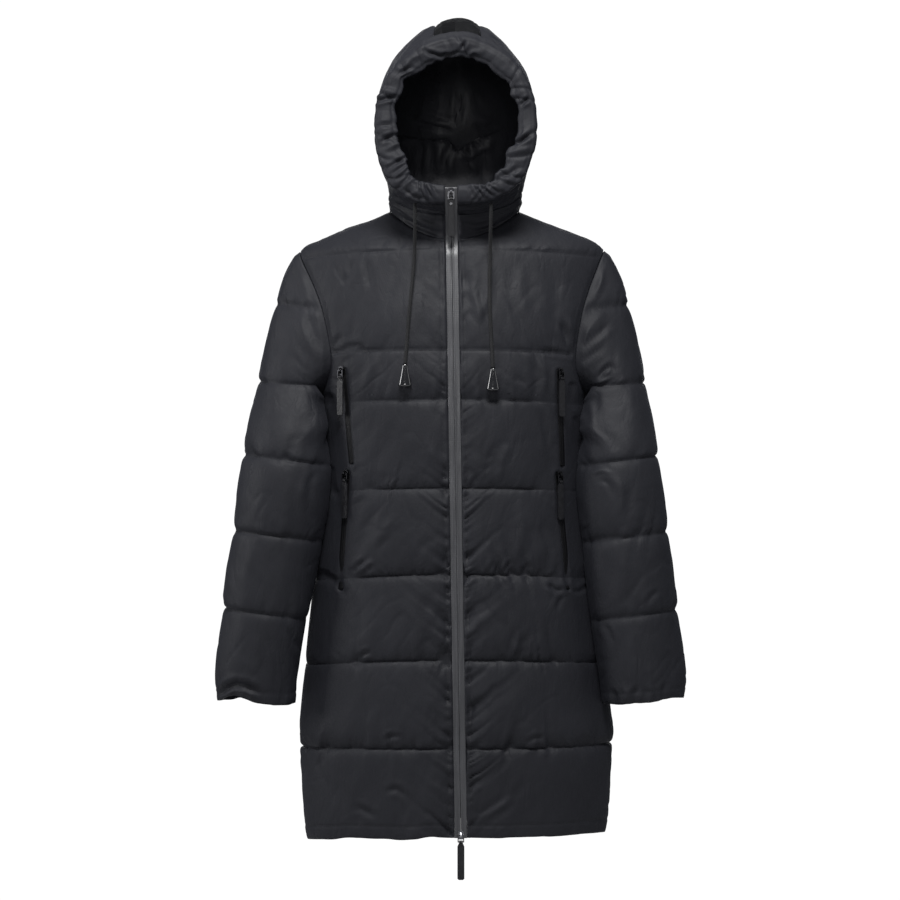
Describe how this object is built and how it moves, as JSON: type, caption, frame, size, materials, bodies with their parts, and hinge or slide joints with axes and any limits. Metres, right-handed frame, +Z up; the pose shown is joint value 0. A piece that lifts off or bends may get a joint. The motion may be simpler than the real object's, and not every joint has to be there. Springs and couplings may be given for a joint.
{
  "type": "quilted hooded parka",
  "caption": "Long quilted parka, filled out as worn and hollow, with a hood and drawcord, a two-way front zip and zipped side pockets whose pull tabs swing.",
  "frame": {"origin": "centre of the neck, level with the shoulders, where the wearer's shoulders hold the coat up", "axes": "+Z up, the front and main zip face -Y, the wearer's left sleeve is towards +X"},
  "size_m": [0.717, 0.2905, 1.3151],
  "materials": {
    "shell": "satin woven nylon, near black",
    "lining": "glossy satin lining, black",
    "zip_tape": "glossy laminated zip tape",
    "dark_metal": "black enamelled metal",
    "bright_metal": "gunmetal plating",
    "strap": "smooth black leather look",
    "bell": "glossy black",
    "cord": "matt braided cord"
  },
  "bodies": {
    "coat": {"front_left": "shell", "front_right": "shell", "back": "shell", "sleeve_left": "shell", "sleeve_right": "shell", "collar": "shell", "hood_left": "shell", "hood_right": "shell", "hood_centre": "shell", "hood_lining": "lining", "hood_rim": "shell", "zip_main_left": "zip_tape", "zip_main_right": "zip_tape", "zip_pocket_right_upper": "zip_tape", "zip_pocket_right_lower": "zip_tape", "zip_pocket_left_upper": "zip_tape", "zip_pocket_left_lower": "zip_tape", "slider_main_top": "dark_metal", "slider_main_bottom": "bright_metal", "slider_pocket_right_upper": "dark_metal", "slider_pocket_right_lower": "dark_metal", "slider_pocket_left_upper": "dark_metal", "slider_pocket_left_lower": "dark_metal", "cord_left": "cord", "cord_end_left": "bell", "cord_right": "cord", "cord_end_right": "bell"},
    "pull_main_top": {"ring_main_top": "bright_metal", "tab_main_top": "strap", "rivet_main": "bright_metal"},
    "pull_main_bottom": {"ring_main_bottom": "dark_metal", "tab_main_bottom": "strap"},
    "pull_pocket_right_upper": {"ring_pocket_right_upper": "dark_metal", "tab_pocket_right_upper": "strap"},
    "pull_pocket_right_lower": {"ring_pocket_right_lower": "dark_metal", "tab_pocket_right_lower": "strap"},
    "pull_pocket_left_upper": {"ring_pocket_left_upper": "dark_metal", "tab_pocket_left_upper": "strap"},
    "pull_pocket_left_lower": {"ring_pocket_left_lower": "dark_metal", "tab_pocket_left_lower": "strap"}
  },
  "joints": [
    {"name": "pull_main_top_swing", "type": "hinge", "parent": "coat", "child": "pull_main_top", "pos_m": [-0.00747, -0.10288, 0.048], "axis": [-1, 0, 0], "range_deg": [0, 150]},
    {"name": "pull_main_bottom_swing", "type": "hinge", "parent": "coat", "child": "pull_main_bottom", "pos_m": [0.00736, -0.13306, -0.921], "axis": [-1, 0, 0], "range_deg": [0, 150]},
    {"name": "pull_pocket_right_upper_swing", "type": "hinge", "parent": "coat", "child": "pull_pocket_right_upper", "pos_m": [-0.17525, -0.09926, -0.222], "axis": [-0.8055, 0.5926, 0], "range_deg": [0, 150]},
    {"name": "pull_pocket_right_lower_swing", "type": "hinge", "parent": "coat", "child": "pull_pocket_right_lower", "pos_m": [-0.16842, -0.10199, -0.378], "axis": [-0.7672, 0.6414, 0], "range_deg": [0, 150]},
    {"name": "pull_pocket_left_upper_swing", "type": "hinge", "parent": "coat", "child": "pull_pocket_left_upper", "pos_m": [0.15991, -0.10496, -0.224], "axis": [-0.8381, -0.5455, 0], "range_deg": [0, 150]},
    {"name": "pull_pocket_left_lower_swing", "type": "hinge", "parent": "coat", "child": "pull_pocket_left_lower", "pos_m": [0.15803, -0.10823, -0.38001], "axis": [-0.8082, -0.5889, 0], "range_deg": [0, 150]}
  ]
}
